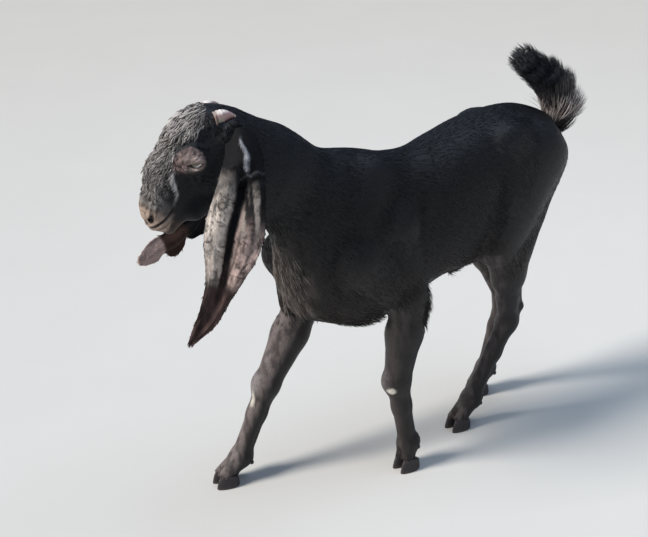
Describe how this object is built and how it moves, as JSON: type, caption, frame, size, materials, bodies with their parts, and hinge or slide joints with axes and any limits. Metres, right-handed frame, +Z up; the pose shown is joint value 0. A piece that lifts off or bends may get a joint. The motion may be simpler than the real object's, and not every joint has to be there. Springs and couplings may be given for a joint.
{
  "type": "goat",
  "caption": "Life-size still model of a young black long-eared buck goat with an arched nose, small swept-back horns and a raised tail, caught in mid walk.",
  "frame": {"origin": "on the floor, under the middle of the model's box", "axes": "+Z up, -Y the way the goat faces, +X towards its left side"},
  "size_m": [0.2688, 0.9526, 0.7901],
  "materials": {
    "coat": "short glossy black hair lying flat",
    "ear": "black and brown skin with thin short hair",
    "horn": "smooth young horn, pinkish cream",
    "eye": "wet, glossy",
    "claw": "dull dark horn"
  },
  "bodies": {
    "root": {"eye_left": "eye", "horn_left": "horn", "eye_right": "eye", "horn_right": "horn", "head": "coat", "ear_left": "ear", "ear_right": "ear", "neck": "coat", "tail": "coat", "trunk": "coat", "leg_fore_left": "coat", "claw_fore_left_outer": "claw", "dewclaw_fore_left_outer": "claw", "claw_fore_left_inner": "claw", "dewclaw_fore_left_inner": "claw", "leg_fore_right": "coat", "claw_fore_right_outer": "claw", "dewclaw_fore_right_outer": "claw", "claw_fore_right_inner": "claw", "dewclaw_fore_right_inner": "claw", "leg_hind_left": "coat", "claw_hind_left_outer": "claw", "dewclaw_hind_left_outer": "claw", "claw_hind_left_inner": "claw", "dewclaw_hind_left_inner": "claw", "leg_hind_right": "coat", "claw_hind_right_outer": "claw", "dewclaw_hind_right_outer": "claw", "claw_hind_right_inner": "claw", "dewclaw_hind_right_inner": "claw"}
  },
  "joints": []
}
